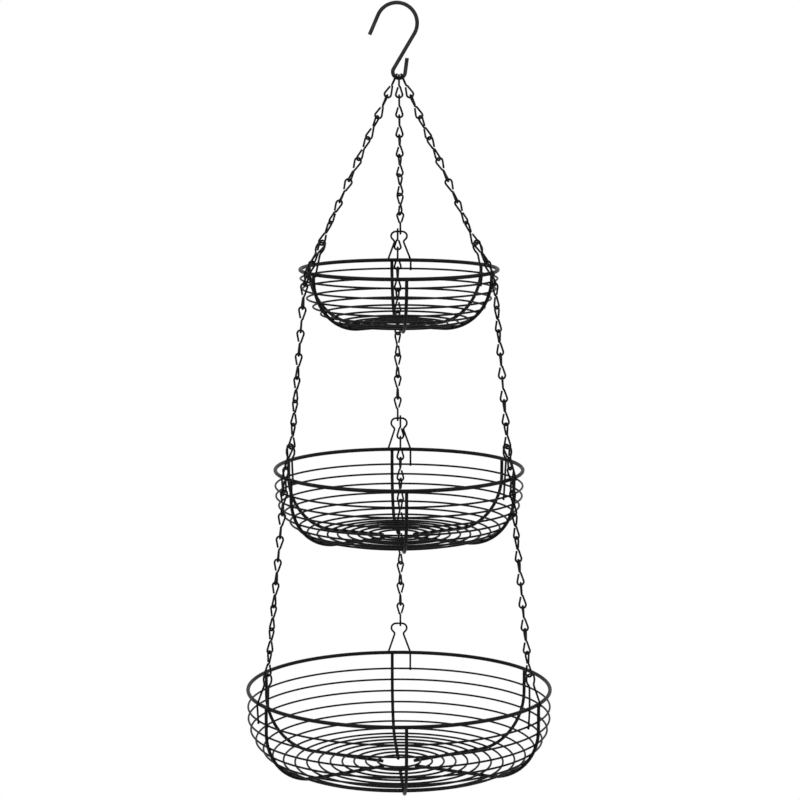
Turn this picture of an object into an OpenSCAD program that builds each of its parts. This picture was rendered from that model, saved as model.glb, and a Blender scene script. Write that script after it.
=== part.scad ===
// Three-tier hanging basket bent from coated round wire: an S-hook, three chains and three round
// baskets that grow from top to bottom. Millimetres, +Z up. The origin is the point inside the
// top of the S-hook where it rests on whatever holds it. The front is -Y.

/* [Baskets] */
// Outer diameter of the top basket's rim
top_rim_od = 200; // [180:1:230]
// Outer diameter of the middle basket's rim
middle_rim_od = 252; // [240:1:270]
// Outer diameter of the bottom basket's rim
bottom_rim_od = 310; // [295:1:330]
// Wire of the rims
rim_d = 3.8; // [3:0.1:5]
// Wire of the rings that fill walls and floors
ring_d = 2; // [1.6:0.1:2.4]
// Wire of the six ribs that carry the rings
rib_d = 3.3; // [2.6:0.1:4]

/* [Chains] */
// Wire of the chain links and of the hangers
link_d = 2; // [1.8:0.1:2.2]
// Length that each link adds to its chain
link_pitch = 22.95; // [22:0.1:24]
// Outside width of a link's loops
link_w = 8.6; // [8.2:0.1:9]
// Play at each place where two wires bear on each other
play = 0.2; // [0.1:0.05:0.3]
// Links in each chain from the hook to the top basket
top_links = 8; // [7:1:9]
// Links in each chain from the top basket to the middle one
middle_links = 9; // [8:1:10]
// Links in each chain from the middle basket to the bottom one
bottom_links = 10; // [9:1:11]

/* [Hook] */
// Wire of the S-hook
hook_d = 3.8; // [3.4:0.1:4]
// Centre-line radius of the upper bend, which goes over a rail or ceiling hook
hook_top_r = 20; // [16:0.5:26]
// Centre-line radius of the lower bend, which carries the chains
hook_low_r = 6.1; // [6:0.1:7]
// Height between the centres of the two bends
hook_span = 47.5; // [40:0.5:60]

/* [Hangers] */
// Height of a hanger along its own slope, from the rim to the top of its eye
hanger_len = 33.5; // [30:0.5:38]
// Half the distance between a hanger's feet
hanger_foot = 12; // [10:0.5:14]
// Half the inside gap of a hanger's neck, to the wire's centre line
hanger_neck = 4.4; // [4:0.1:5]
// Inward lean of the top basket's hangers, in degrees
top_hanger_lean = 25; // [20:1:30]
// Inward lean of the middle basket's hangers, in degrees
middle_hanger_lean = 8; // [5:0.5:12]
// Inward lean of the bottom basket's hangers, in degrees
bottom_hanger_lean = 12; // [8:0.5:15]

/* [Hidden] */
$fn = 48;
coat = [0.09, 0.09, 0.1];
weld = 0.2;                 // how far welded wires sink into each other
swell = 0.02;               // a bend is this much thicker than the straight wire beside it
lap = 0.08;                 // how far straight wire runs into a bend

// Directions of the three chains in plan, seen from above, and of the six ribs
left = 210;
right = 330;
back = 90;
chain_dirs = [left, right, back];
rib_past_chain = 7.2;       // arc from a chain to the rib beside it
rib_gap = 60;

// Baskets as [rim radius, straight wall, corner radius, first ring below the rim, ring spacing]
top_basket = [(top_rim_od - rim_d) / 2, 4, 50, 8.7, 10.5];
middle_basket = [(middle_rim_od - rim_d) / 2, 18, 48, 15.9, 10.2];
bottom_basket = [(bottom_rim_od - rim_d) / 2, 25, 51.5, 17.6, 12];
floor_ring_min = 16;        // the smallest ring of a floor

// Links: a link's length between the centres of its two end wires, and what touching wires share
link_c = link_pitch + link_d + play;
bear = link_d + play;
loop_r = (link_w - link_d) / 2;
waist = 1.08;               // side wires at the waist, from the link's axis
end_gap = 0.5;              // how far the cut ends stop short of the waist
waist_bend = 1.2;           // radius of the two bends where the wire crosses over at the waist
loop_slope = asin((loop_r - waist) / (link_c / 2 - loop_r));
waist_z = -link_c / 2 + 0.7;
side_x = loop_r * cos(loop_slope);
side_z = -loop_r - loop_r * sin(loop_slope);
// Two chains share an eye, each on its own side of the middle, and a chain keeps its side
side_by_side = 1.4;
top_side = -side_by_side;
middle_side = side_by_side;
bottom_side = -side_by_side;
top_drape = [0.4, 9.2];     // how far past the rim the first and the second link reach
middle_drape = [2.9, 5.3];

// S-hook, with both bends' middles under the origin's line
hook_shift = 2.2;
hook_top_c = [-hook_shift, hook_d / 2 - sqrt(pow(hook_top_r, 2) - pow(hook_shift, 2))];
hook_low_c = [0, hook_top_c[1] - hook_span];
hook_run = hook_low_c - hook_top_c;
hook_slant = asin((hook_top_r + hook_low_r) / norm(hook_run)) - atan2(hook_run[0], -hook_run[1]);
hook_mouth_end = 21;        // straight end of the upper bend
hook_tip_end = 14.5;        // straight end of the lower bend
hook_tip_lean = 7.5;        // the lower end leans a little outwards
hook_flare = 23.5;          // the upper end leans outwards

// Where the first links sit round the lower bend
seat_step = 34;

// Hanger outline: half the eye's flat top, the radius of its corners, and the neck
eye_flat = 3;
eye_corner = 5.2;
neck_down = 11.5;
neck_bend = 3;
foot_bend = 6;
foot_out = rim_d / 2 + link_d / 2 - weld;

// The eye's corner is where its top meets the tangent from the neck to the corner's arc
neck_to_arc = [eye_flat - hanger_neck, neck_down - eye_corner];
eye_side = atan2(neck_to_arc[0], neck_to_arc[1]) + asin(eye_corner / norm(neck_to_arc));
eye_corner_x = hanger_neck + neck_down * tan(eye_side);

function unit(v) = v / norm(v);
function polar(dir, r, s, z) =
    [r * cos(dir) - s * sin(dir), r * sin(dir) + s * cos(dir), z];
function mix(a, b, t) = a + (b - a) * t;

// Points along a basket's wall and floor: a straight, a quarter round and a flat floor
function ring_at(b, run) =
    let (round_len = b[2] * PI / 2, a = (run - b[1]) / b[2] * 180 / PI)
    run < b[1] ? [b[0], -run]
    : run < b[1] + round_len ? [b[0] - b[2] * (1 - cos(a)), -b[1] - b[2] * sin(a)]
    : [b[0] - b[2] - (run - b[1] - round_len), -b[1] - b[2]];
function floor_start(b) = b[1] + b[2] * PI / 2;
function wall_runs(b) = [for (run = b[3]; run < floor_start(b); run = run + b[4]) run];
function floor_runs(b) =
    [for (run = b[3]; run < floor_start(b) + b[0] - b[2] - floor_ring_min; run = run + b[4])
        if (run >= floor_start(b)) run];
function upper_runs(b) = [for (i = [0 : 3]) wall_runs(b)[i]];
function lower_runs(b) = [for (i = [4 : len(wall_runs(b)) - 1]) wall_runs(b)[i]];
function inner_ring(b) = let (runs = floor_runs(b)) ring_at(b, runs[len(runs) - 1])[0];

// Eyes: radius of a basket's eyes, and their height above its rim
function eye_r(b, lean) = b[0] + foot_out - hanger_len * sin(lean);
function eye_up(lean) = hanger_len * cos(lean);

// The top basket's eyes, and the seats of its chains round the hook's lower bend. A chain's first
// link bears on the hook along the chain's own line, and its loop stands across the hook's wire.
top_eye_r = eye_r(top_basket, top_hanger_lean);
hook_bear = (hook_d + link_d) / 2 + play;
function seat_turn(dir) = dir == left ? -seat_step : dir == right ? seat_step : 0;
function seat_mid(dir) =
    [hook_low_r * sin(seat_turn(dir)), 0, hook_low_c[1] - hook_low_r * cos(seat_turn(dir))];
top_eye_z = seat_mid(back)[2]
    - sqrt(pow(top_links * link_pitch - hook_bear, 2) - pow(top_eye_r, 2));
function top_eye_at(dir) = polar(dir, top_eye_r, top_side, top_eye_z);
function seat(dir) = seat_mid(dir) - hook_bear * unit(top_eye_at(dir) - seat_mid(dir));
function seat_heading(dir) =
    let (v = unit(top_eye_at(dir) - seat_mid(dir)),
         lean = acos(-v[2]),
         way = atan2(v[1], v[0]),
         t = [cos(seat_turn(dir)), 0, sin(seat_turn(dir))])
    way + atan2(t * [-sin(way), cos(way), 0],
                t * [cos(lean) * cos(way), cos(lean) * sin(way), sin(lean)]);
top_z = top_eye_z - eye_up(top_hanger_lean);

// A chain that goes on down leaves the eye with one link that leans out, crosses the rim with
// the waist of the second, and then runs straight to the next eye. Points are [radius, height].
function down(a) = [sin(a), -cos(a)];
function reach(r0, r1, n) = asin((r1 - r0) / (n * link_pitch));
function lean_1(b, eye, drape) = reach(eye[0], b[0] + drape[0], 1);
function lean_2(drape) = reach(drape[0], drape[1], 1);
function over_rim(b, eye, drape) =
    eye + link_pitch * (down(lean_1(b, eye, drape)) + down(lean_2(drape)));
function rest_start(b, eye, drape, next_r, n) =
    let (low = over_rim(b, eye, drape))
    low - bear * down(reach(low[0], next_r, n - 2));
function next_eye(start, next_r, n) =
    [next_r, start[1] - sqrt(pow((n - 2) * link_pitch, 2) - pow(next_r - start[0], 2))];

top_eye = [top_eye_r, top_eye_z];
middle_eye_r = eye_r(middle_basket, middle_hanger_lean);
middle_start = rest_start(top_basket, top_eye, top_drape, middle_eye_r, middle_links);
middle_eye = next_eye(middle_start, middle_eye_r, middle_links);
middle_z = middle_eye[1] - eye_up(middle_hanger_lean);

bottom_eye_r = eye_r(bottom_basket, bottom_hanger_lean);
bottom_start = rest_start(middle_basket, middle_eye, middle_drape, bottom_eye_r, bottom_links);
bottom_eye = next_eye(bottom_start, bottom_eye_r, bottom_links);
bottom_z = bottom_eye[1] - eye_up(bottom_hanger_lean);

// Straight round wire from one point to another, run on at each end into a bend
module bar(a, b, d, lap_a = lap, lap_b = lap) {
    v = b - a;
    translate(a)
        rotate([0, acos(v[2] / norm(v)), atan2(v[1], v[0])])
            translate([0, 0, -lap_a])
                cylinder(h = norm(v) + lap_a + lap_b, d = d);
}

// Round wire bent at a corner, where it arrives along u and leaves along w
module bend(corner, u, w, r, d) {
    turn = acos(u * w);
    n = unit(w - (u * w) * u);
    k = cross(-n, u);
    c = corner - r * tan(turn / 2) * u + r * n;
    multmatrix([[-n[0], u[0], k[0], c[0]],
                [-n[1], u[1], k[1], c[1]],
                [-n[2], u[2], k[2], c[2]],
                [0, 0, 0, 1]])
        rotate_extrude(angle = turn)
            translate([r, 0]) circle(d = d + swell);
}

// Round wire along a line of points, with each inner corner bent to its own radius
module wire(points, radii, d, lap_a = 0, lap_b = 0) {
    last = len(points) - 1;
    u = [for (i = [0 : last - 1]) unit(points[i + 1] - points[i])];
    cut = [for (i = [0 : last])
        i == 0 || i == last ? 0 : radii[i - 1] * tan(acos(u[i - 1] * u[i]) / 2)];
    for (i = [0 : last - 1])
        bar(points[i] + cut[i] * u[i], points[i + 1] - cut[i + 1] * u[i], d,
            i == 0 ? lap_a : lap, i == last - 1 ? lap_b : lap);
    for (i = [1 : last - 1])
        bend(points[i], u[i - 1], u[i], radii[i - 1], d);
}

// Arc of round wire in the XZ plane, from one angle up to another
module arc_wire(c, r, from, to, d) {
    translate([c[0], 0, c[1]])
        rotate([90, 0, 0])
            rotate([0, 0, from])
                rotate_extrude(angle = to - from)
                    translate([r, 0]) circle(d = d + swell);
}

// One loop of a link in the XZ plane: a round end at the top, and the side that is cut off
// short of the waist
module loop() {
    arc_wire([0, -loop_r], loop_r, -loop_slope, 180 + loop_slope, link_d);
    cut = waist_z + end_gap;
    cut_x = mix(waist, side_x, (cut - waist_z) / (side_z - waist_z));
    bar([-side_x, 0, side_z], [-cut_x, 0, cut], link_d, lap, 0);
}

// Chain link bent from one wire, from the centre of its top wire down along -Z
module link() {
    rotate([0, 0, 90]) loop();
    translate([0, 0, -link_c]) mirror([0, 0, 1]) loop();
    wire([[0, side_x, side_z],
          [0, waist, waist_z],
          [waist, 0, -link_c - waist_z],
          [side_x, 0, -link_c - side_z]], [waist_bend, waist_bend], link_d, lap, lap);
}

// Links first to last - 1 of a straight chain of n links, from the centre of the first one's
// top wire to the wire that the chain ends on. The links turn from one heading to another,
// evenly where ease is 1 and mostly near the end where it is more.
module chain(start, finish, n, first, last, head0, head1, ease = 1) {
    v = finish - start;
    dir = atan2(v[1], v[0]);
    lean = acos(-v[2] / norm(v));
    for (i = [first : last - 1])
        translate(start + v * i / n)
            rotate([0, -lean, dir])
                rotate([0, 0, mix(head0, head1, n > 1 ? pow(i / (n - 1), ease) : 0) - dir])
                    link();
}

// Chains from the hook to the top basket
module top_chain(dir, first, last) {
    end_heading = dir == left ? dir - 360 : dir == right ? dir - 180 : dir;
    ease = dir == left ? 1.35 : dir == right ? 1.15 : 2.5;
    chain(seat(dir), top_eye_at(dir), top_links, first, last, seat_heading(dir), end_heading, ease);
}

// The two links that leave an eye and go over the rim of its basket
module first_links(b, eye, drape, side) {
    a1 = lean_1(b, eye, drape);
    a2 = lean_2(drape);
    top_1 = eye - bear * down(a1);
    top_2 = eye + link_pitch * down(a1) - bear * down(a2);
    for (dir = chain_dirs) {
        translate(polar(dir, top_1[0], side, top_1[1]))
            rotate([0, -a1, dir])
                rotate([0, 0, 90])
                    link();
        translate(polar(dir, top_2[0], side, top_2[1]))
            rotate([0, -a2, dir])
                rotate([0, 0, 90])
                    link();
    }
}

// Chains from one basket to the next, from the third link on
module tier_chain(dir, start, eye, side, n, first, last) {
    turn = 90 / (n - 2);
    chain(polar(dir, start[0], side, start[1]), polar(dir, eye[0], side, eye[1]), n - 2,
        first - 2, last - 2, dir + 90 - turn, dir);
}

module middle_part(dir, first, last) {
    tier_chain(dir, middle_start, middle_eye, middle_side, middle_links, first, last);
}

module bottom_part(dir, first, last) {
    tier_chain(dir, bottom_start, bottom_eye, bottom_side, bottom_links, first, last);
}

// Basket pieces, with the rim's centre at height 0
module ring(r, z, d) {
    translate([0, 0, z])
        rotate_extrude() translate([r, 0]) circle(d = d);
}

module rings(b, runs) {
    for (run = runs)
        ring(ring_at(b, run)[0], ring_at(b, run)[1], ring_d);
}

module ribs(b, first = 0, last = 5) {
    out = ring_d / 2 + rib_d / 2 - weld;
    floor_z = -b[1] - b[2] - out;
    rib_top = -0.4;
    turn = rib_past_chain / b[0] * 180 / PI;
    for (i = [first : last])
        rotate([0, 0, left + turn + i * rib_gap])
            wire([[b[0] + out, 0, rib_top],
                  [b[0] + out, 0, floor_z],
                  [inner_ring(b) - rib_d, 0, floor_z]], [b[2] + out], rib_d);
}

// Hanger: an open wire eye with a neck and two legs. Both feet lie on the outside of the rim,
// and one leg goes on down to the first ring.
module hanger(b, lean) {
    rim_r = b[0] + foot_out;
    first = ring_at(b, b[3]);
    foot_r = sqrt(pow(rim_r, 2) - pow(hanger_foot, 2)) - rim_r;
    low_r = sqrt(pow(first[0] + ring_d / 2 + link_d / 2 - 2 * weld, 2) - pow(hanger_foot, 2)) - rim_r;
    function at(s, drop) =
        let (t = drop / hanger_len)
        [(t - 1) * hanger_len * sin(lean) + foot_r * t, s, (hanger_len - drop) * cos(lean)];
    translate([rim_r, 0, 0])
        wire([at(hanger_foot, hanger_len + rim_d / 2),
              at(hanger_neck, neck_down),
              at(eye_corner_x, 0),
              at(-eye_corner_x, 0),
              at(-hanger_neck, neck_down),
              at(-hanger_foot, hanger_len),
              [low_r, -hanger_foot, first[1] - ring_d]],
            [neck_bend, eye_corner, eye_corner, neck_bend, foot_bend], link_d);
}

module hangers(b, lean) {
    for (dir = chain_dirs)
        rotate([0, 0, dir]) hanger(b, lean);
}

module s_hook() {
    color(coat) {
        arc_wire(hook_top_c, hook_top_r, -hook_slant, 180 - hook_flare, hook_d);
        arc_wire(hook_low_c, hook_low_r, 180 - hook_slant, 360 - hook_tip_lean, hook_d);
        across = [cos(hook_slant), -sin(hook_slant)];
        upper = hook_top_c + hook_top_r * across;
        lower = hook_low_c - hook_low_r * across;
        bar([upper[0], 0, upper[1]], [lower[0], 0, lower[1]], hook_d);
        mouth = hook_top_c + hook_top_r * [-cos(hook_flare), sin(hook_flare)];
        mouth_end = mouth - hook_mouth_end * [sin(hook_flare), cos(hook_flare)];
        bar([mouth[0], 0, mouth[1]], [mouth_end[0], 0, mouth_end[1]], hook_d, lap, 0);
        tip = hook_low_c + hook_low_r * [cos(hook_tip_lean), -sin(hook_tip_lean)];
        tip_end = tip + hook_tip_end * [sin(hook_tip_lean), cos(hook_tip_lean)];
        bar([tip[0], 0, tip[1]], [tip_end[0], 0, tip_end[1]], hook_d, lap, 0);
    }
}

module top_lead_left() { color(coat) top_chain(left, 0, 1); }
module top_lead_right() { color(coat) top_chain(right, 0, 1); }
module top_lead_back() { color(coat) top_chain(back, 0, 1); }
module top_chain_left() { color(coat) top_chain(left, 1, top_links); }
module top_chain_right() { color(coat) top_chain(right, 1, top_links); }
module top_chain_back() { color(coat) top_chain(back, 1, top_links); }
module top_rim() { color(coat) ring(top_basket[0], top_z, rim_d); }
module top_wall_rings_upper() {
    color(coat) translate([0, 0, top_z]) rings(top_basket, upper_runs(top_basket));
}
module top_wall_rings_lower() {
    color(coat) translate([0, 0, top_z]) rings(top_basket, lower_runs(top_basket));
}
module top_floor_rings() { color(coat) translate([0, 0, top_z]) rings(top_basket, floor_runs(top_basket)); }
module top_ribs_front() { color(coat) translate([0, 0, top_z]) ribs(top_basket, 0, 2); }
module top_ribs_back() { color(coat) translate([0, 0, top_z]) ribs(top_basket, 3, 5); }
module top_hangers() { color(coat) translate([0, 0, top_z]) hangers(top_basket, top_hanger_lean); }

module middle_first_links() { color(coat) first_links(top_basket, top_eye, top_drape, middle_side); }
module middle_swivel_left() { color(coat) middle_part(left, 2, 3); }
module middle_swivel_right() { color(coat) middle_part(right, 2, 3); }
module middle_swivel_back() { color(coat) middle_part(back, 2, 3); }
module middle_chain_left() { color(coat) middle_part(left, 3, middle_links - 1); }
module middle_chain_right() { color(coat) middle_part(right, 3, middle_links - 1); }
module middle_chain_back() { color(coat) middle_part(back, 3, middle_links - 1); }
module middle_last_left() { color(coat) middle_part(left, middle_links - 1, middle_links); }
module middle_last_right() { color(coat) middle_part(right, middle_links - 1, middle_links); }
module middle_last_back() { color(coat) middle_part(back, middle_links - 1, middle_links); }
module middle_rim() { color(coat) ring(middle_basket[0], middle_z, rim_d); }
module middle_wall_rings() {
    color(coat) translate([0, 0, middle_z]) rings(middle_basket, wall_runs(middle_basket));
}
module middle_floor_rings() {
    color(coat) translate([0, 0, middle_z]) rings(middle_basket, floor_runs(middle_basket));
}
module middle_ribs() { color(coat) translate([0, 0, middle_z]) ribs(middle_basket); }
module middle_hangers() {
    color(coat) translate([0, 0, middle_z]) hangers(middle_basket, middle_hanger_lean);
}

module bottom_first_links() {
    color(coat) first_links(middle_basket, middle_eye, middle_drape, bottom_side);
}
module bottom_swivel_left() { color(coat) bottom_part(left, 2, 3); }
module bottom_swivel_right() { color(coat) bottom_part(right, 2, 3); }
module bottom_swivel_back() { color(coat) bottom_part(back, 2, 3); }
module bottom_chain_left() { color(coat) bottom_part(left, 3, bottom_links - 1); }
module bottom_chain_right() { color(coat) bottom_part(right, 3, bottom_links - 1); }
module bottom_chain_back() { color(coat) bottom_part(back, 3, bottom_links - 1); }
module bottom_last_left() { color(coat) bottom_part(left, bottom_links - 1, bottom_links); }
module bottom_last_right() { color(coat) bottom_part(right, bottom_links - 1, bottom_links); }
module bottom_last_back() { color(coat) bottom_part(back, bottom_links - 1, bottom_links); }
module bottom_rim() { color(coat) ring(bottom_basket[0], bottom_z, rim_d); }
module bottom_wall_rings_upper() {
    color(coat) translate([0, 0, bottom_z]) rings(bottom_basket, upper_runs(bottom_basket));
}
module bottom_wall_rings_lower() {
    color(coat) translate([0, 0, bottom_z]) rings(bottom_basket, lower_runs(bottom_basket));
}
module bottom_floor_rings() {
    color(coat) translate([0, 0, bottom_z]) rings(bottom_basket, floor_runs(bottom_basket));
}
module bottom_ribs() { color(coat) translate([0, 0, bottom_z]) ribs(bottom_basket); }
module bottom_hangers() {
    color(coat) translate([0, 0, bottom_z]) hangers(bottom_basket, bottom_hanger_lean);
}

s_hook();
top_lead_left();
top_lead_right();
top_lead_back();
top_chain_left();
top_chain_right();
top_chain_back();
top_rim();
top_wall_rings_upper();
top_wall_rings_lower();
top_floor_rings();
top_ribs_front();
top_ribs_back();
top_hangers();
middle_first_links();
middle_swivel_left();
middle_swivel_right();
middle_swivel_back();
middle_chain_left();
middle_chain_right();
middle_chain_back();
middle_last_left();
middle_last_right();
middle_last_back();
middle_rim();
middle_wall_rings();
middle_floor_rings();
middle_ribs();
middle_hangers();
bottom_first_links();
bottom_swivel_left();
bottom_swivel_right();
bottom_swivel_back();
bottom_chain_left();
bottom_chain_right();
bottom_chain_back();
bottom_last_left();
bottom_last_right();
bottom_last_back();
bottom_rim();
bottom_wall_rings_upper();
bottom_wall_rings_lower();
bottom_floor_rings();
bottom_ribs();
bottom_hangers();
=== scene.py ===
"""Finish, light and camera for a three-tier hanging basket of coated wire, in metres, +Z up."""
import math

import bmesh
import bpy
from bpy.props import FloatProperty, FloatVectorProperty, PointerProperty, StringProperty
from mathutils import Matrix, Vector
from mathutils.bvhtree import BVHTree


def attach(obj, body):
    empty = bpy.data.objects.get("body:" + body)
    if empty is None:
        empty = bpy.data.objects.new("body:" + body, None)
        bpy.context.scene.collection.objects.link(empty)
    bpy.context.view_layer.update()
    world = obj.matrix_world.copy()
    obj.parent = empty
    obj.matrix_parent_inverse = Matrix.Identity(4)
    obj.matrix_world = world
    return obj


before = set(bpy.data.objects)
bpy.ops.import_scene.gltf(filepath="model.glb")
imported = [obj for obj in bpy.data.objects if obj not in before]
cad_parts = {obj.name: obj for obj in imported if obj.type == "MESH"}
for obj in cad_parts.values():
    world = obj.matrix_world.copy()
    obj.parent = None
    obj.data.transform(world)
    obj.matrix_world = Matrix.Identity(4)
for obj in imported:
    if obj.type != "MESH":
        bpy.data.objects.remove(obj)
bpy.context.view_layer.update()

bl_info = {
    "name": "Tiered wire basket",
    "version": (1, 0, 0),
    "blender": (4, 5, 0),
    "location": "View3D > Sidebar > Wire Basket",
    "description": "Coats the wires, chains and hook of a hanging basket and sets the studio",
    "category": "Object",
}

MM = 0.001
TIERS = ("top", "middle", "bottom")

# Vertices that lie this close in the half plane through the axis are on one ring.
ONE_RING = 4.4 * MM
# A ring is looked at in quarter degrees for the wires that it is welded to.
STEPS_ROUND_RING = 1440
# It is welded where its surface comes this close to theirs.
WELD_REACH = 0.15 * MM

# The coat's thick and thin places are this wide, and dull and smooth between these noise values.
PATCH = 14 * MM
PATCH_RANGE = (0.3, 0.7)
# The colour follows the grain more than the patches, and turns from dark to light in this range. Its
# grain part is painted light and shade, lighter on the grain tops and darker in the hollows; the patches
# are the coat's own uneven tone.
GRAIN_HIGHLIGHT_SHARE = 0.6
PATCH_SHARE = 0.4
COLOUR_RANGE = (0.38, 0.62)

# Each lamp's place, the side of its square and its power in watts.
LAMPS = {
    "key_lamp": ((-1.5, -1.9, 0.9), 0.6, 30),
    "side_lamp": ((1.9, -1.3, 0.1), 0.5, 12),
    "top_lamp": ((0.2, 0.4, 2.0), 0.9, 18),
}
# The surroundings light the basket less than they show.
ROOM_LIGHT = 0.35
SEEN_WHITE = 1.0
FLOOR_HALF = 12
# Near the middle this share of the seen floor is plain white, and it grows to 1 over this range.
FLOOR_WHITE_SHARE = 0.8
FLOOR_FADE = (1.2, 3.2)


def srgb(text):
    """A hex colour as it is seen, turned into the linear numbers that a shader takes."""
    out = []
    for i in (1, 3, 5):
        c = int(text[i : i + 2], 16) / 255
        out.append(c / 12.92 if c <= 0.04045 else ((c + 0.055) / 1.055) ** 2.4)
    return (*out, 1.0)


def add_node(tree, kind, settings=None, values=None, links=None):
    """Adds one node, sets its properties and input values, and links its inputs."""
    node = tree.nodes.new(kind)
    for name, value in (settings or {}).items():
        setattr(node, name, value)
    for name, value in (values or {}).items():
        node.inputs[name].default_value = value
    for name, source in (links or {}).items():
        tree.links.new(source, node.inputs[name])
    return node


def new_material(name):
    """An empty node material and its tree."""
    mat = bpy.data.materials.new(name)
    mat.use_nodes = True
    mat.node_tree.nodes.clear()
    return mat, mat.node_tree


def black_coat(name, dark, light, matt, gloss, shine, grain, grain_depth):
    """Black coat on steel wire, made the first time it is asked for. Broad patches make it
    slightly duller or smoother where it lay thicker or thinner, and a fine grain breaks the edge
    of each highlight. The grain's width and depth are in metres."""
    if name in bpy.data.materials:
        return bpy.data.materials[name]
    mat, tree = new_material(name)
    where = add_node(tree, "ShaderNodeTexCoord")
    patches = add_node(
        tree,
        "ShaderNodeTexNoise",
        values={"Scale": 1 / PATCH, "Detail": 3.0, "Roughness": 0.55},
        links={"Vector": where.outputs["Object"]},
    )
    grains = add_node(
        tree,
        "ShaderNodeTexNoise",
        values={"Scale": 1 / grain, "Detail": 2.0, "Roughness": 0.5},
        links={"Vector": where.outputs["Object"]},
    )
    # The grain's tops are painted a little lighter and its hollows darker, as painted highlight and
    # shade. The broad patches add the coat's own uneven tone.
    broad = add_node(
        tree,
        "ShaderNodeMath",
        {"operation": "MULTIPLY"},
        {1: PATCH_SHARE},
        {0: patches.outputs["Fac"]},
    )
    tone_and_grain_highlight = add_node(
        tree,
        "ShaderNodeMath",
        {"operation": "MULTIPLY_ADD"},
        {1: GRAIN_HIGHLIGHT_SHARE},
        {0: grains.outputs["Fac"], 2: broad.outputs[0]},
    )
    # The ramp turns the patch tone and the painted grain highlight and shade into the coat's colour.
    colour = add_node(tree, "ShaderNodeValToRGB", links={"Fac": tone_and_grain_highlight.outputs[0]})
    for stop, place, shade in zip(colour.color_ramp.elements, COLOUR_RANGE, (dark, light)):
        stop.position = place
        stop.color = srgb(shade)
    sheen = add_node(
        tree,
        "ShaderNodeMapRange",
        values={
            "From Min": PATCH_RANGE[0],
            "From Max": PATCH_RANGE[1],
            "To Min": gloss,
            "To Max": matt,
        },
        links={"Value": patches.outputs["Fac"]},
    )
    bump = add_node(
        tree,
        "ShaderNodeBump",
        values={"Strength": 0.6, "Distance": grain_depth},
        links={"Height": grains.outputs["Fac"]},
    )
    shader = add_node(
        tree,
        "ShaderNodeBsdfPrincipled",
        values={"IOR": 1.5, "Specular IOR Level": shine},
        links={
            "Base Color": colour.outputs["Color"],
            "Roughness": sheen.outputs["Result"],
            "Normal": bump.outputs["Normal"],
        },
    )
    add_node(tree, "ShaderNodeOutputMaterial", links={"Surface": shader.outputs["BSDF"]})
    return mat


def basket_coat():
    """Powder sprayed dry and baked on the welded baskets: satin black, with a fine orange peel
    that keeps the rims from looking like plain tubes."""
    p = bpy.context.scene.basket_finish
    return black_coat(
        "satin_black_powder_coat_on_welded_wire",
        p.basket_dark,
        p.basket_light,
        p.matt,
        p.gloss,
        p.shine,
        grain=1.1 * MM,
        grain_depth=0.02 * MM,
    )


def chain_coat():
    """Links are dipped, so their coat is smoother than sprayed powder and the blackest of the
    three, with narrow highlights, one on each bend."""
    p = bpy.context.scene.basket_finish
    return black_coat(
        "dipped_black_enamel_on_chain_links",
        p.chain_dark,
        p.chain_light,
        p.matt - 0.06,
        p.gloss - 0.06,
        p.shine,
        grain=1.6 * MM,
        grain_depth=0.012 * MM,
    )


def hook_coat():
    """The hook's thick wire has a textured powder coat, greyer and duller than the rest, with
    grains that can be seen from arm's length."""
    p = bpy.context.scene.basket_finish
    return black_coat(
        "textured_charcoal_powder_coat_on_hook",
        p.hook_dark,
        p.hook_light,
        p.matt + 0.2,
        p.gloss + 0.2,
        p.shine,
        grain=0.8 * MM,
        grain_depth=0.05 * MM,
    )


def dress(names, mat):
    """Gives CAD nodes one material; their shape is already right."""
    for name in names:
        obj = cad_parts[name]
        obj.data.materials.clear()
        obj.data.materials.append(mat)


def is_ring_node(name):
    """Whether a node holds a rim or rings."""
    return name.endswith("_rim") or "_rings" in name


def rings_of(node):
    """(radius, height, wire radius) of each ring in a node, from the places of its vertices."""
    tubes = []
    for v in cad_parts[node].data.vertices:
        at = Vector((math.hypot(v.co.x, v.co.y), v.co.z))
        for tube in tubes:
            if (tube[0] - at).length < ONE_RING:
                tube.append(at)
                break
        else:
            tubes.append([at])
    rings = []
    for tube in tubes:
        radii = [at.x for at in tube]
        heights = [at.y for at in tube]
        wire = (max(heights) - min(heights)) / 2
        rings.append(((max(radii) + min(radii)) / 2, (max(heights) + min(heights)) / 2, wire))
    return rings


def touches(ring, tree):
    """Where a ring touches the wires in a tree: (point, direction into that wire, along the ring)."""
    radius, height, wire = ring
    places = []
    gaps = []
    for k in range(STEPS_ROUND_RING):
        a = 2 * math.pi * k / STEPS_ROUND_RING
        at = Vector((radius * math.cos(a), radius * math.sin(a), height))
        near, _, _, gap = tree.find_nearest(at)
        places.append((at, near, a))
        gaps.append(gap)
    found = []
    for k in range(STEPS_ROUND_RING):
        lowest = gaps[k] <= gaps[k - 1] and gaps[k] < gaps[(k + 1) % STEPS_ROUND_RING]
        if lowest and gaps[k] < wire + WELD_REACH:
            at, near, a = places[k]
            into = (near - at).normalized()
            found.append((at + into * wire, into, Vector((-math.sin(a), math.cos(a), 0))))
    return found


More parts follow.
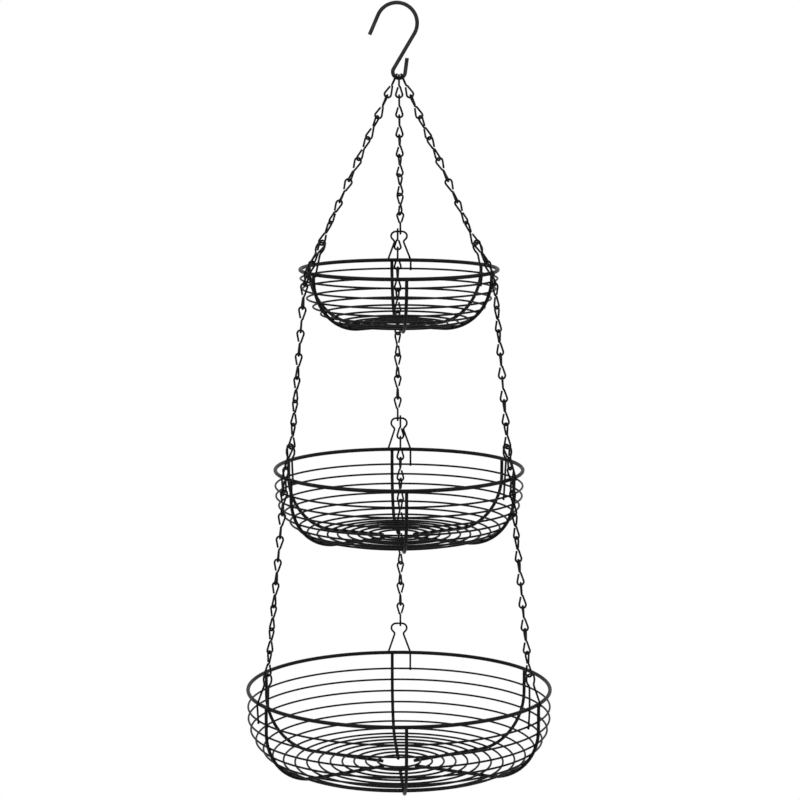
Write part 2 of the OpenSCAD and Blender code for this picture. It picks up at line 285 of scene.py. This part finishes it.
def weld_beads(name, ring_nodes, wire_nodes, body, bead):
    """Small coated beads where the ring wires of one basket are spot-welded to its ribs and
    hangers. bead is half the bead's size along the ring, along the other wire and through it."""
    bm = bmesh.new()
    for wire_node in wire_nodes:
        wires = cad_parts[wire_node].data
        tree = BVHTree.FromPolygons([v.co for v in wires.vertices], [p.vertices for p in wires.polygons])
        for ring_node in ring_nodes:
            for ring in rings_of(ring_node):
                for point, into, along in touches(ring, tree):
                    across = into.cross(along)
                    turned = Matrix((along, across, into)).transposed().to_4x4()
                    sized = Matrix.Diagonal((*bead, 1))
                    place = Matrix.Translation(point) @ turned @ sized
                    bmesh.ops.create_icosphere(bm, subdivisions=2, radius=1, matrix=place)
    mesh = bpy.data.meshes.new(name)
    bm.to_mesh(mesh)
    bm.free()
    mesh.polygons.foreach_set("use_smooth", [True] * len(mesh.polygons))
    obj = bpy.data.objects.new(name, mesh)
    bpy.context.scene.collection.objects.link(obj)
    obj.data.materials.append(basket_coat())
    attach(obj, body)


class BasketFinish(bpy.types.PropertyGroup):
    # In each coat the grain tops lean to the light colour as a painted highlight and the hollows to the
    # dark one as painted shade; the broad patches are the coat's own tone.
    basket_dark: StringProperty(
        name="Basket, dark",
        description="Darkest colour of the baskets, as sRGB hex",
        default="#070708",
    )
    basket_light: StringProperty(
        name="Basket, light",
        description="Lightest colour of the baskets, as sRGB hex",
        default="#111113",
    )
    chain_dark: StringProperty(
        name="Chain, dark",
        description="Darkest colour of the links, as sRGB hex",
        default="#060607",
    )
    chain_light: StringProperty(
        name="Chain, light",
        description="Lightest colour of the links, as sRGB hex",
        default="#0e0e10",
    )
    hook_dark: StringProperty(
        name="Hook, dark",
        description="Darkest grain of the hook, as sRGB hex",
        default="#1c1c1e",
    )
    hook_light: StringProperty(
        name="Hook, light",
        description="Lightest grain of the hook, as sRGB hex",
        default="#3c3c3f",
    )
    matt: FloatProperty(
        name="Matt",
        description="Roughness where the coat is dull",
        default=0.52,
        min=0.05,
        max=1,
        subtype="FACTOR",
    )
    gloss: FloatProperty(
        name="Gloss",
        description="Roughness where the coat is smooth",
        default=0.4,
        min=0.05,
        max=1,
        subtype="FACTOR",
    )
    shine: FloatProperty(
        name="Shine",
        description="Strength of the coat's reflections",
        default=0.08,
        min=0,
        max=1,
        subtype="FACTOR",
    )
    weld_bead: FloatVectorProperty(
        name="Weld bead",
        description="Half size along the ring, along the other wire and through it",
        default=(1.7 * MM, 1.6 * MM, 0.75 * MM),
        precision=4,
        unit="LENGTH",
    )


class BasketStudio(bpy.types.PropertyGroup):
    aim: FloatVectorProperty(
        name="Aim",
        description="Point that the camera looks at",
        default=(0.001, 0, -0.3914),
        subtype="XYZ",
        unit="LENGTH",
    )
    distance: FloatProperty(
        name="Distance",
        description="From the camera to the aim",
        default=2.755,
        min=0.5,
        unit="LENGTH",
    )
    tilt: FloatProperty(
        name="Tilt",
        description="How far the camera looks down",
        default=math.radians(8.35),
        subtype="ANGLE",
    )
    lens: FloatProperty(
        name="Lens",
        description="Focal length on a 36 mm sensor",
        default=123.975,
        min=10,
        unit="CAMERA",
    )
    floor_drop: FloatProperty(
        name="Floor drop",
        description="From the hook's top to the floor",
        default=1.9,
        min=0.8,
        unit="LENGTH",
    )


class BASKET_OT_hook(bpy.types.Operator):
    """Coats the S-hook"""

    bl_idname = "basket.hook"
    bl_label = "S-hook"

    def execute(self, context):
        dress(["s_hook"], hook_coat())
        return {"FINISHED"}


class BASKET_OT_chains(bpy.types.Operator):
    """Coats every chain link, from the hook to the bottom basket"""

    bl_idname = "basket.chains"
    bl_label = "Chains"

    def execute(self, context):
        words = ("_lead_", "_chain_", "_swivel_", "_last_", "_first_links")
        names = [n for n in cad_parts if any(w in n for w in words)]
        if not names:
            raise RuntimeError("the frame has no chain nodes")
        dress(names, chain_coat())
        return {"FINISHED"}


class BASKET_OT_rims_and_rings(bpy.types.Operator):
    """Coats the rims and the wall and floor rings of the three baskets"""

    bl_idname = "basket.rims_and_rings"
    bl_label = "Rims and rings"

    def execute(self, context):
        dress([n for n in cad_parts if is_ring_node(n)], basket_coat())
        return {"FINISHED"}


class BASKET_OT_ribs(bpy.types.Operator):
    """Coats the ribs under the three baskets"""

    bl_idname = "basket.ribs"
    bl_label = "Ribs"

    def execute(self, context):
        dress([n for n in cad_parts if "_ribs" in n], basket_coat())
        return {"FINISHED"}


class BASKET_OT_hangers(bpy.types.Operator):
    """Coats the wire hangers that the chains hold"""

    bl_idname = "basket.hangers"
    bl_label = "Hangers"

    def execute(self, context):
        dress([f"{tier}_hangers" for tier in TIERS], basket_coat())
        return {"FINISHED"}


class BASKET_OT_welds(bpy.types.Operator):
    """Adds the weld beads that hold each basket's wires together"""

    bl_idname = "basket.welds"
    bl_label = "Welds"

    def execute(self, context):
        bead = context.scene.basket_finish.weld_bead
        for tier in TIERS:
            own = [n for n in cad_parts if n.startswith(tier)]
            rings = [n for n in own if is_ring_node(n)]
            wires = [n for n in own if "_ribs" in n or n.endswith("_hangers")]
            weld_beads(f"{tier}_basket_welds", rings, wires, f"{tier}_basket", bead)
        return {"FINISHED"}


def seen_ray(tree):
    """1 for rays that show the background: straight to the camera, in a reflection or through
    glass."""
    ray = add_node(tree, "ShaderNodeLightPath")
    seen = ray.outputs["Is Camera Ray"]
    for kind in ("Is Glossy Ray", "Is Transmission Ray"):
        both = add_node(
            tree,
            "ShaderNodeMath",
            {"operation": "MAXIMUM"},
            links={0: seen, 1: ray.outputs[kind]},
        )
        seen = both.outputs[0]
    return seen


def floor_paint():
    """Matt studio paint. What is seen of it is mostly plain white and the rest is the lit paint,
    so that a shadow still shows near the middle; further out it is all white, with no horizon."""
    mat, tree = new_material("matt_white_studio_floor")
    paint = add_node(
        tree,
        "ShaderNodeBsdfPrincipled",
        values={"Base Color": srgb("#f4f4f4"), "Roughness": 0.9},
    )
    white = add_node(
        tree,
        "ShaderNodeEmission",
        values={"Color": (1, 1, 1, 1), "Strength": SEEN_WHITE},
    )
    where = add_node(tree, "ShaderNodeTexCoord")
    out = add_node(
        tree,
        "ShaderNodeVectorMath",
        {"operation": "LENGTH"},
        links={0: where.outputs["Object"]},
    )
    fade = add_node(
        tree,
        "ShaderNodeMapRange",
        values={
            "From Min": FLOOR_FADE[0],
            "From Max": FLOOR_FADE[1],
            "To Min": FLOOR_WHITE_SHARE,
            "To Max": 1.0,
        },
        links={"Value": out.outputs["Value"]},
    )
    share = add_node(
        tree,
        "ShaderNodeMath",
        {"operation": "MULTIPLY"},
        links={0: seen_ray(tree), 1: fade.outputs["Result"]},
    )
    mix = add_node(
        tree,
        "ShaderNodeMixShader",
        links={0: share.outputs[0], 1: paint.outputs["BSDF"], 2: white.outputs["Emission"]},
    )
    add_node(tree, "ShaderNodeOutputMaterial", links={"Surface": mix.outputs["Shader"]})
    return mat


def floor_sheet(drop):
    """A wide floor below the basket."""
    mesh = bpy.data.meshes.new("studio_floor")
    bm = bmesh.new()
    bmesh.ops.create_grid(bm, x_segments=2, y_segments=2, size=FLOOR_HALF)
    bm.to_mesh(mesh)
    bm.free()
    floor = bpy.data.objects.new("studio_floor", mesh)
    floor.location = (0, 0, -drop)
    bpy.context.scene.collection.objects.link(floor)
    floor.data.materials.append(floor_paint())


def lamp(name, place, size, watts, aim):
    """A soft square lamp that faces a point."""
    light = bpy.data.lights.new(name, "AREA")
    light.shape = "SQUARE"
    light.size = size
    light.energy = watts
    obj = bpy.data.objects.new(name, light)
    obj.location = place
    obj.rotation_euler = (aim - Vector(place)).to_track_quat("-Z", "Y").to_euler()
    bpy.context.scene.collection.objects.link(obj)


def surroundings():
    """A room that is white to the eye and lights the basket from all sides more gently."""
    world = bpy.data.worlds.new("white_studio")
    world.use_nodes = True
    tree = world.node_tree
    tree.nodes.clear()
    room, white = (
        add_node(tree, "ShaderNodeBackground", values={"Color": (1, 1, 1, 1), "Strength": strength})
        for strength in (ROOM_LIGHT, SEEN_WHITE)
    )
    mix = add_node(
        tree,
        "ShaderNodeMixShader",
        links={0: seen_ray(tree), 1: room.outputs["Background"], 2: white.outputs["Background"]},
    )
    add_node(tree, "ShaderNodeOutputWorld", links={"Surface": mix.outputs["Shader"]})
    bpy.context.scene.world = world


def camera_at(aim, distance, tilt, lens):
    """The scene's camera, in front of a point and looking down at it."""
    camera = bpy.data.cameras.new("camera")
    camera.sensor_width = 36
    camera.lens = lens
    camera.clip_start = 0.1
    camera.clip_end = 60
    eye = bpy.data.objects.new("camera", camera)
    eye.location = aim + distance * Vector((0, -math.cos(tilt), math.sin(tilt)))
    eye.rotation_euler = (math.pi / 2 - tilt, 0, 0)
    bpy.context.scene.collection.objects.link(eye)
    bpy.context.scene.camera = eye


class BASKET_OT_stage(bpy.types.Operator):
    """Sets the floor, the lamps, the white surroundings and the camera"""

    bl_idname = "basket.stage"
    bl_label = "Studio"

    def execute(self, context):
        p = context.scene.basket_studio
        aim = Vector(p.aim)
        floor_sheet(p.floor_drop)
        for name, (place, size, watts) in LAMPS.items():
            lamp(name, place, size, watts, aim)
        surroundings()
        camera_at(aim, p.distance, p.tilt, p.lens)
        context.scene.view_settings.view_transform = "Standard"
        return {"FINISHED"}


PIECES = (
    BASKET_OT_hook,
    BASKET_OT_chains,
    BASKET_OT_rims_and_rings,
    BASKET_OT_ribs,
    BASKET_OT_hangers,
    BASKET_OT_welds,
    BASKET_OT_stage,
)


class BASKET_PT_panel(bpy.types.Panel):
    """Lists the basket's pieces and their settings"""

    bl_idname = "BASKET_PT_panel"
    bl_label = "Wire Basket"
    bl_space_type = "VIEW_3D"
    bl_region_type = "UI"
    bl_category = "Wire Basket"

    def draw(self, context):
        for group in (context.scene.basket_finish, context.scene.basket_studio):
            for name in group.__annotations__:
                self.layout.prop(group, name)
        for piece in PIECES:
            self.layout.operator(piece.bl_idname)


CLASSES = (BasketFinish, BasketStudio, *PIECES, BASKET_PT_panel)


def register():
    for cls in CLASSES:
        bpy.utils.register_class(cls)
    bpy.types.Scene.basket_finish = PointerProperty(type=BasketFinish)
    bpy.types.Scene.basket_studio = PointerProperty(type=BasketStudio)


def unregister():
    del bpy.types.Scene.basket_finish
    del bpy.types.Scene.basket_studio
    for cls in reversed(CLASSES):
        bpy.utils.unregister_class(cls)


def main():
    register()
    bpy.ops.basket.hook()
    bpy.ops.basket.chains()
    bpy.ops.basket.rims_and_rings()
    bpy.ops.basket.ribs()
    bpy.ops.basket.hangers()
    bpy.ops.basket.welds()
    bpy.ops.basket.stage()


if __name__ == "__main__":
    main()
